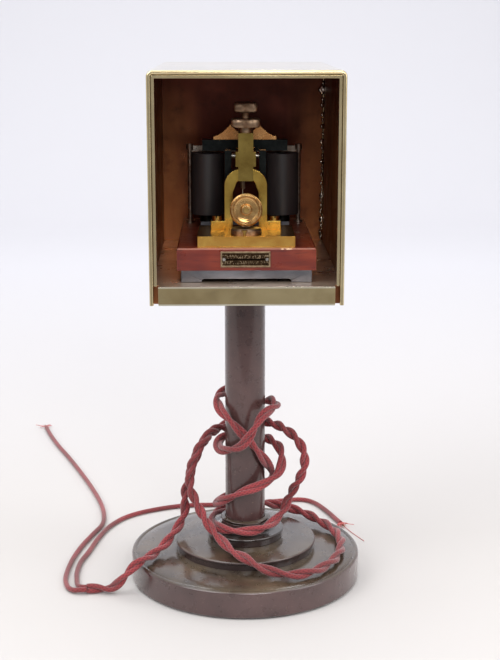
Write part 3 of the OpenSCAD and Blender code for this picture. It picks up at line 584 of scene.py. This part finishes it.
def silk():
    """Pale silk thread."""
    f = Finish("silk", rough=0.5)
    f.colour(f.ramp(f.noise(2000, 2), (0.3, tone(196, 184, 160)), (0.7, tone(226, 216, 194))))
    f.bump(f.noise(4000, 2, (1, 1, 0.3)), 0.0001, 0.4)
    return f.material


def covered_wire():
    """Brown cotton-covered lead wire."""
    f = Finish("covered_wire", rough=0.75)
    f.colour(f.ramp(f.noise(900, 3, (1, 1, 8)), (0.35, tone(84, 40, 26)),
                    (0.65, tone(134, 70, 44))))
    f.bump(f.noise(900, 2, (0.2, 0.2, 3)), 0.0002, 0.5)
    return f.material


def braid():
    """Crimson cotton braid: two sets of threads that cross round the conductor."""
    f = Finish("crimson_braid", rough=0.85)
    f.surface.inputs["Sheen Weight"].default_value = 0.35
    f.surface.inputs["Sheen Roughness"].default_value = 0.5
    thread_pitch = 0.0042
    threads_round = 5
    uv = f.node("ShaderNodeTexCoord").outputs["UV"]
    parts = f.node("ShaderNodeSeparateXYZ")
    f.put(uv, parts.inputs["Vector"])
    along = f.maths("MULTIPLY", parts.outputs["X"], TURN / thread_pitch)
    round_it = f.maths("MULTIPLY", parts.outputs["Y"], TURN * threads_round)
    left = f.maths("SINE", f.maths("ADD", along, round_it))
    right = f.maths("SINE", f.maths("SUBTRACT", along, round_it))
    weave = f.maths("MAXIMUM", left, right)
    threads = f.fade(weave, -0.4, 1.0)
    faded = f.noise(38, 5)
    light = f.ramp(faded, (0.3, tone(138, 42, 47)), (0.7, tone(162, 62, 66)))
    dark = f.ramp(faded, (0.3, tone(88, 24, 29)), (0.7, tone(116, 40, 44)))
    base = f.mix(threads, dark, light)
    base = f.mix(f.fade(f.noise(16, 2), 0.48, 0.62, 0, 0.5), base, tone(88, 36, 36))
    soiled = f.noise(240, 5)
    f.colour(f.mix(f.fade(soiled, 0.55, 0.75, 0, 0.45), base, tone(78, 40, 38)))
    f.bump(threads, 0.0003, 0.4)
    f.bump(f.noise(3500, 2), 0.00015, 0.5)
    return f.material


def worn_name_field():
    """Blackened field of the name plate with two bands of worn, unreadable engraving."""
    f = Finish("name_plate_brass", metal=1.0, rough=0.35)
    brass_tone = f.ramp(f.noise(300, 4), (0.3, tone(140, 116, 88)), (0.7, tone(194, 170, 138)))
    dark = f.ramp(f.noise(300, 4), (0.3, tone(40, 28, 20)), (0.7, tone(74, 54, 36)))
    low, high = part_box("name_plate")
    z = f.axis("Z")
    marks = f.fade(f.noise(1300, 2, (1, 1, 0.5)), 0.53, 0.58)
    height = high.z - low.z
    rows = [(low.z + 0.30 * height, 0.11), (low.z + 0.66 * height, 0.13)]
    shown = 0.0
    for centre, share in rows:
        near = f.maths("ABSOLUTE", f.maths("SUBTRACT", z, centre))
        shown = f.maths("ADD", shown, f.fade(near, share * height, share * height * 0.85))
    border = 0.0011
    inner_border = 0.0014
    inside_z = f.fade(f.maths("ABSOLUTE", f.maths("SUBTRACT", z, (low.z + high.z) / 2)),
                      height / 2 - border, height / 2 - inner_border)
    x = f.maths("ABSOLUTE", f.maths("SUBTRACT", f.axis("X"), (low.x + high.x) / 2))
    half_width = (high.x - low.x) / 2
    inside_x = f.fade(x, half_width - border, half_width - inner_border)
    field = f.maths("MULTIPLY", inside_z, inside_x)
    marks = f.maths("MULTIPLY", marks, shown)
    cover = f.maths("MULTIPLY", field, f.maths("SUBTRACT", 1.0, marks))
    f.colour(f.mix(cover, brass_tone, dark))
    f.bump(f.noise(2000, 2), 0.00006, 0.3)
    return f.material


def solder():
    """Bright lumps of solder."""
    f = Finish("solder", metal=1.0, rough=0.14)
    f.colour(f.ramp(f.noise(800, 4), (0.35, tone(232, 208, 186)), (0.65, tone(255, 250, 240))))
    f.bump(f.noise(1200, 4), 0.0002, 0.4)
    return f.material


def copper_strand():
    """Dull bare copper of the conductors' ends."""
    f = Finish("copper_strand", metal=1.0, rough=0.35)
    f.colour(f.ramp(f.noise(900, 3), (0.3, tone(120, 70, 46)), (0.7, tone(200, 130, 92))))
    return f.material


def red_thread():
    """Frayed cotton, pinker where the dye has gone."""
    f = Finish("red_thread", rough=0.8)
    f.colour(f.ramp(f.noise(600, 3), (0.3, tone(168, 44, 50)), (0.7, tone(226, 136, 134))))
    f.bump(f.noise(3000, 2), 0.0001, 0.4)
    return f.material


def studio_white(name, floor, wall):
    """Matt paper, its tone graded from darker on the near floor to lighter on the wall: painted
    shade that evens out the lamps' light.
    """
    f = Finish(name, rough=0.9)
    # Painted shade: the near floor, which the lamps light more, gets a darker tone than the far
    # floor and wall.
    f.colour(f.ramp(f.fade(f.axis("Y"), 0.1, 1.6), (0, floor), (1, wall)))
    return f.material


FINISHES = {
    "enamel": enamel("brown_enamel"),
    "felt": baize(),
    "hood_brass": brass_sheet("hood_brass", tone(222, 204, 162), tone(198, 178, 136)),
    "iron": cast_iron(),
    "blued_steel": steel("blued_steel", tone(38, 41, 40), tone(22, 24, 24), 0.34),
    "steel": steel("steel", tone(190, 186, 180), tone(140, 134, 128)),
    "bright_brass": brass("bright_brass", tone(214, 178, 102), tone(168, 128, 62), 0.12, 0.22),
    "old_brass": brass("old_brass", tone(176, 150, 82), tone(128, 102, 48), 0.12, 0.22),
    "wheel_brass": turned_brass(),
    "bronze": bronze(),
    "ebonite": ebonite(),
    "mahogany": mahogany(),
    "copper_wire": covered_wire(),
    "silk": silk(),
    "crimson_braid": braid(),
}

# Edge radii of the CAD nodes that need more or less than the usual one
USUAL_EDGE = 0.0002
KNURLED_EDGE = 0.00012
EDGES = {
    "iron_base": 0.0006,
    "mahogany_board": 0.0009,
    "brass_plate": 0.0004,
    "bridge_arch": 0.0004,
    "gallows_bar": 0.0004,
    "lever": 0.0004,
    "armature": 0.0004,
    "saddle": 0.0003,
    "head_flange": 0.0008,
    "base_socket": 0.0005,
    "tray": 0.0005,
    "trim_strip": 0.0003,
    "coil_cover_left": 0.0004,
    "coil_cover_right": 0.0004,
    "windlass_post": 0.0003,
}


def paint(piece, *materials):
    """Replaces a piece's materials."""
    piece.data.materials.clear()
    for material in materials:
        piece.data.materials.append(material)


def finish_cad_nodes():
    """Gives every CAD node its record slot's finish and soft edges."""
    for part in frame["record"]["subparts"]:
        node = NODES[part["node"]]
        paint(node, FINISHES[part["material_slot"]])
        soften(node, EDGES.get(part["node"], USUAL_EDGE))
    paint(NODES["pole_tube"], enamel("pole_enamel", coat=0.6, coat_rough=0.07))
    for name in ("base_step", "base_socket"):
        paint(NODES[name], enamel(name + "_enamel", lip=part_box(name)[1].z - 0.0015))
    paint(NODES["name_plate"], worn_name_field())
    paint(NODES["name_plate_pins"], FINISHES["steel"])
    paint(NODES["brass_plate"], brass("plate_brass", tone(252, 200, 104), tone(222, 158, 74)))
    paint(NODES["bridge_arch"], brass("arch_brass", tone(212, 178, 90), tone(168, 132, 60)))
    paint(NODES["saddle"], brass("saddle_brass", tone(222, 166, 108), tone(184, 118, 66), 0.2, 0.32))
    paint(NODES["back_frame"], steel("post_metal", tone(196, 186, 174), tone(140, 124, 108), 0.34))
    paint(NODES["windlass_spindle"], brass("spindle_brass", tone(226, 190, 120),
                                           tone(190, 150, 86)))


def line_hood():
    """Puts the browned lacquer on the inner faces of the hood and on its floor."""
    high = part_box("hood_shell")[1]
    inner = hood_inside()
    shell = NODES["hood_shell"]
    skin = 0.0007
    # Painted light: the hood's upward outer faces take a much paler copy of its brass.
    paint(shell, FINISHES["hood_brass"], inner,
          brass_sheet("hood_top", tone(250, 242, 222), tone(232, 220, 190)))
    for face in shell.data.polygons:
        x, y, z = face.center
        inside = abs(x) < high.x - skin and y < high.y - skin and z < high.z - skin
        top = not inside and face.normal.z > 0.7
        face.material_index = 1 if inside else 2 if top else 0
    ears = high.x - 0.006
    tray = NODES["tray"]
    tray_low, tray_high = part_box("tray")
    top = tray_high.z
    # The tray's brass gets painted highlight lines, with edge wear, just inside its top and bottom
    # edges.
    worn = 0.0003
    paint(tray, brass_sheet("tray_brass", tone(214, 194, 148), tone(170, 146, 100),
                            (top - worn, tray_low.z + worn)), floor_lacquer(), inner)
    for face in tray.data.polygons:
        x, _, z = face.center
        if z > top - 0.0001 and face.normal.z > 0.9:
            face.material_index = 1
        elif abs(x) > ears and z < top - 0.0002:
            face.material_index = 2


# ---------------------------------------------------------------- flex


def flex():
    """The twisted pair and its two loose conductors, braided in crimson cotton."""
    braided = FINISHES["crimson_braid"]
    line = smooth_line(PAIR_ROUTE, 0.0016)
    offset = (PAIR_D - SINGLE_D) / 2
    strands = [twisted(line, offset, PAIR_LAY, start) for start in (0, math.pi)]
    pair = new_piece("flex_strands", tubes("flex_strands", strands, SINGLE_D / 2, 14),
                     STAND, "crimson_braid", "flex_pair")
    paint(pair, braided)

    for name, route, length, loose in (
            ("tail_long", LONG_ROUTE, LONG_LENGTH, []),
            ("tail_short", SHORT_ROUTE, SHORT_LENGTH, SHORT_THREAD)):
        tail_line = smooth_line(route, 0.0014)
        tail = new_piece(name + "_braid", tubes(name + "_braid", [tail_line], SINGLE_D / 2, 14),
                         STAND, "crimson_braid", name)
        paint(tail, braided)
        ends = frayed_end(name + "_frayed", tail_line, loose)


def frayed_end(name, line, loose):
    """Loose threads, one of them pulled out along `loose`, and bare copper at the end."""
    thread_count = 18
    wire_count = 5
    wire_points = 12
    random.seed(name)
    tip = line[-1]
    ahead = (line[-1] - line[-4]).normalized()
    level = Vector((ahead.y, -ahead.x, 0)).normalized()
    threads = []
    for _ in range(thread_count):
        spread = random.uniform(-0.7, 0.7)
        length = random.uniform(0.004, 0.012)
        start = tip - 0.002 * ahead + SINGLE_D * 0.33 * random.uniform(-1, 1) * level
        bend = start + 0.5 * length * (ahead + spread * level) + Vector((0, 0, 0.0006))
        end = start + length * (ahead + 1.7 * spread * level)
        end.z = max(0.0004, tip.z + random.uniform(-0.0012, 0.0014))
        threads.append(smooth_line([start, bend, end], 0.001))
    if loose:
        threads.append(smooth_line([tip] + [Vector(point) for point in loose], 0.002))
    wires = []
    for k in range(wire_count):
        turn = TURN * k / wire_count
        wire = []
        for i in range(wire_points):
            out = 0.0009 * i
            swing = 0.00045 + 0.00003 * i
            wire.append(tip - 0.001 * ahead + out * ahead
                        + swing * (math.cos(turn + 0.7 * i) * level
                                   + math.sin(turn + 0.7 * i) * Vector((0, 0, 1))))
        wires.append(wire)
    thread_piece = new_piece(name + "_threads", tubes(name + "_threads", threads, 0.0003, 6),
                             STAND, "crimson_braid")
    paint(thread_piece, red_thread())
    wire_piece = new_piece(name + "_copper", tubes(name + "_copper", wires, 0.0002, 6),
                           STAND, "copper_wire")
    paint(wire_piece, copper_strand())
    return [thread_piece, wire_piece]


# ---------------------------------------------------------------- turned and small pieces


def set_at(mesh, place):
    """The same mesh, moved to a place."""
    mesh.transform(Matrix.Translation(place))
    return mesh


def stop_screws():
    """The upper stop's screw with its knurled head, and its knurled lock nut."""
    low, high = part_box("stop_screw")
    centre = middle("stop_screw")
    head_r = (high.x - low.x) / 2
    head_height = 0.0082
    head_low = high.z - head_height
    nut_low, nut_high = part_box("stop_locknut")
    shank_r = 0.0026
    neck_r = 0.0034
    profile = [(0.0002, low.z, False), (shank_r - 0.0004, low.z, False),
               (shank_r, low.z + 0.0004, False), (shank_r, nut_high.z + 0.0002, False),
               (neck_r, nut_high.z + 0.0003, False), (neck_r, head_low - 0.0003, False),
               (neck_r + 0.0003, head_low, False), (head_r - 0.0014, head_low, False),
               (head_r, head_low + 0.0012, True), (head_r, high.z - 0.0012, True),
               (head_r - 0.0014, high.z, False), (0.0002, high.z, False)]
    place = Vector((centre.x, centre.y, 0))
    screw = new_piece("knurled_stop_screw",
                      set_at(lathe("knurled_stop_screw", profile, 240, 0.0005, 60), place),
                      "upper_stop", "bronze", "stop_screw")
    paint(screw, FINISHES["bronze"])
    bevel(screw, KNURLED_EDGE, 50)

    nut_r = (nut_high.x - nut_low.x) / 2
    bore = shank_r + 0.00005
    profile = [(bore, nut_low.z, False), (nut_r - 0.001, nut_low.z, False),
               (nut_r, nut_low.z + 0.0009, True), (nut_r, nut_high.z - 0.0009, True),
               (nut_r - 0.001, nut_high.z, False), (bore, nut_high.z, False)]
    nut = new_piece("knurled_lock_nut",
                    set_at(lathe("knurled_lock_nut", profile, 288, 0.0005, 72), place),
                    "lock_nut", "bronze", "stop_locknut")
    paint(nut, FINISHES["bronze"])
    bevel(nut, KNURLED_EDGE, 50)


def coil_spring():
    """Close-wound return spring with a hook up to the lever."""
    low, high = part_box("tension_spring")
    centre = middle("tension_spring")
    coil_r = 0.0019
    wire_r = 0.0003
    turns = 17
    points_a_turn = 16
    hook = 0.0046
    top = high.z - hook
    points = [Vector((centre.x, centre.y, low.z - 0.0005))]
    steps = turns * points_a_turn
    for i in range(steps + 1):
        turn = TURN * i / points_a_turn
        points.append(Vector((centre.x + coil_r * math.cos(turn),
                              centre.y + coil_r * math.sin(turn),
                              low.z + wire_r + (top - low.z) * i / steps)))
    points.append(Vector((centre.x, centre.y, top + 0.001)))
    points.append(Vector((centre.x, centre.y, high.z)))
    spring = new_piece("return_spring", tubes("return_spring", [points], wire_r, 8),
                       STAND, "steel", "tension_spring")
    paint(spring, FINISHES["steel"])


def crumpled_collar():
    """The thin ring at the foot of the pole, its edge bent into waves."""
    low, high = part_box("pole_collar")
    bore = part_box("pole_tube")[1].x + 0.00005
    rim = high.x

    def wave(turn):
        swell = 0.6 * math.sin(3 * turn + 0.4) + 0.4 * math.sin(5 * turn + 1.9)
        return 0.0004 * swell, 0.0005 * math.sin(3 * turn + 2.1) + 0.0002 * math.sin(7 * turn)

    top = high.z
    profile = [(bore, low.z, False), (rim - 0.0035, low.z, False),
               (rim - 0.0006, low.z + 0.0013, True), (rim, low.z + 0.0019, True),
               (rim - 0.0006, low.z + 0.0025, True), (rim - 0.003, top - 0.0008, True),
               (bore + 0.001, top, False), (bore, top, False)]
    ring = new_piece("crumpled_collar", lathe("crumpled_collar", profile, 160, wave=wave),
                     STAND, "enamel", "pole_collar")
    paint(ring, FINISHES["enamel"])


def solder_seam():
    """Blobs and runs of solder down the back right corner inside the hood."""
    low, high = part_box("hood_shell")
    sheet = 0.0014
    corner = Vector((high.x - sheet, high.y - sheet, 0))
    sizes = {0.438: 1.6, 0.432: 3.4, 0.423: 1.7, 0.418: 2.0, 0.409: 1.8, 0.404: 1.6,
             0.398: 1.9, 0.391: 1.4, 0.384: 2.1, 0.378: 1.7, 0.371: 1.5, 0.365: 2.0,
             0.359: 1.6, 0.353: 1.8, 0.345: 1.9, 0.339: 1.5, 0.333: 2.3, 0.329: 1.9,
             0.324: 1.7, 0.318: 2.0, 0.310: 2.3, 0.304: 1.7, 0.298: 2.9, 0.293: 1.9}
    build = bmesh.new()
    for height, size in sizes.items():
        r = size * 0.0012
        place = corner + Vector((-0.5 * r, -0.5 * r, height))
        made = bmesh.ops.create_icosphere(build, subdivisions=3, radius=r)["verts"]
        for v in made:
            lump = 1 + 0.25 * math.sin(900 * v.co.x + 5 * size) * math.cos(800 * v.co.z)
            v.co = Vector((v.co.x * 0.8, v.co.y * 0.8, v.co.z * 1.15)) * lump + place
    mesh = bpy.data.meshes.new("solder_blobs")
    build.to_mesh(mesh)
    build.free()
    blobs = new_piece("solder_blobs", smooth(mesh), STAND, "hood_brass")
    paint(blobs, solder())
    run = []
    steps = 60
    foot = low.z + 0.018
    head = high.z - 0.003
    for i in range(steps + 1):
        z = foot + (head - foot) * i / steps
        run.append(corner + Vector((-0.0004 + 0.0003 * math.sin(i * 1.7),
                                    -0.0004 + 0.0003 * math.cos(i * 2.3), z)))
    seam = new_piece("solder_run", tubes("solder_run", [run], 0.0009, 8), STAND, "hood_brass")
    paint(seam, FINISHES["hood_brass"])


def board_chips():
    """Two small chips in the polish on the board's front upper edge."""
    low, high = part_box("mahogany_board")
    build = bmesh.new()
    for x, width in ((0.0335, 0.0030), (0.0285, 0.0015)):
        made = bmesh.ops.create_icosphere(build, subdivisions=3, radius=1)["verts"]
        for v in made:
            ragged = 1 + 0.2 * math.sin(9 * v.co.x + 3 * v.co.z)
            v.co = Vector((x + v.co.x * width * ragged, low.y + 0.0005 + v.co.y * 0.0006,
                           high.z - 0.0009 + v.co.z * 0.0008 * ragged))
    mesh = bpy.data.meshes.new("board_chips")
    build.to_mesh(mesh)
    build.free()
    chips = new_piece("board_chips", smooth(mesh), STAND, "mahogany")
    paint(chips, chipped_wood())


# ---------------------------------------------------------------- studio


def camera():
    """Sets up the camera that looks into the hood from the front."""
    data = bpy.data.cameras.new("camera")
    data.sensor_width = 36
    data.lens = LENS
    shot = bpy.data.objects.new("camera", data)
    shot.location = CAMERA_AT
    shot.rotation_euler = (math.pi / 2 - CAMERA_PITCH, 0, -CAMERA_YAW)
    bpy.context.scene.collection.objects.link(shot)
    bpy.context.scene.camera = shot


def soft_light(name, place, target, size, power):
    """An area lamp at a place, aimed at a target."""
    data = bpy.data.lights.new(name, "AREA")
    data.shape = "RECTANGLE"
    data.size, data.size_y = size
    data.energy = power
    light = bpy.data.objects.new(name, data)
    light.location = place
    light.rotation_euler = (Vector(target) - Vector(place)).to_track_quat("-Z", "Y").to_euler()
    bpy.context.scene.collection.objects.link(light)


def backdrop():
    """A pale floor that curves up into a wall behind the object."""
    front = -0.7
    bend = 2.1
    r = 0.9
    wall_top = 3.4
    half = 3.4
    steps = 16
    outline = [(front, 0), (bend, 0)]
    outline += [(bend + r * math.sin(a), r - r * math.cos(a))
                for a in (math.pi / 2 * i / steps for i in range(1, steps + 1))]
    outline.append((bend + r, wall_top))
    build = bmesh.new()
    sides = [[build.verts.new((x, y, z)) for y, z in outline] for x in (-half, half)]
    for i in range(len(outline) - 1):
        build.faces.new((sides[0][i], sides[1][i], sides[1][i + 1], sides[0][i + 1]))
    mesh = bpy.data.meshes.new("backdrop")
    build.to_mesh(mesh)
    build.free()
    sweep = bpy.data.objects.new("backdrop", smooth(mesh))
    bpy.context.scene.collection.objects.link(sweep)
    paint(sweep, studio_white("studio_white", tone(201, 197, 195), tone(221, 220, 225)))


def studio():
    """Sets up the room's light, the lamps, the view transform and the backdrop."""
    world = bpy.data.worlds.new("studio")
    bpy.context.scene.world = world
    world.use_nodes = True
    tree = world.node_tree
    sky = tree.nodes["Background"]
    sky.inputs["Color"].default_value = (0.97, 0.98, 1.0, 1)
    # The room is dark in front of the object and bright above and behind it
    toward = tree.nodes.new("ShaderNodeSeparateXYZ")
    tree.links.new(tree.nodes.new("ShaderNodeTexCoord").outputs["Generated"],
                   toward.inputs["Vector"])
    dim = 0.42
    bright = 0.85
    levels = []
    for letter, low, high in (("Y", -0.75, 0.05), ("Z", 0.2, 0.75)):
        level = tree.nodes.new("ShaderNodeMapRange")
        level.inputs["From Min"].default_value = low
        level.inputs["From Max"].default_value = high
        level.inputs["To Min"].default_value = dim
        level.inputs["To Max"].default_value = bright
        tree.links.new(toward.outputs[letter], level.inputs["Value"])
        levels.append(level.outputs["Result"])
    brighter = tree.nodes.new("ShaderNodeMath")
    brighter.operation = "MAXIMUM"
    for level, socket in zip(levels, brighter.inputs):
        tree.links.new(level, socket)
    tree.links.new(brighter.outputs["Value"], sky.inputs["Strength"])
    target = (0, 0, 0.25)
    soft_light("key", (-1.2, -1.0, 1.5), target, (1.3, 1.3), 19)
    soft_light("fill", (1.5, -0.7, 1.1), target, (1.0, 1.5), 11)
    soft_light("top", (0, 0.1, 2.0), (0, 0, 0), (2.0, 2.0), 16)
    soft_light("front", (0.3, -1.5, 1.1), (0, 0, 0.36), (0.8, 0.5), 11)
    soft_light("wall", (0, 1.6, 2.9), (0, 3.2, 0.9), (2.8, 0.6), 27)
    bpy.context.scene.view_settings.view_transform = "Standard"
    backdrop()


camera()
flex()
finish_cad_nodes()
line_hood()
stop_screws()
coil_spring()
crumpled_collar()
solder_seam()
board_chips()
studio()
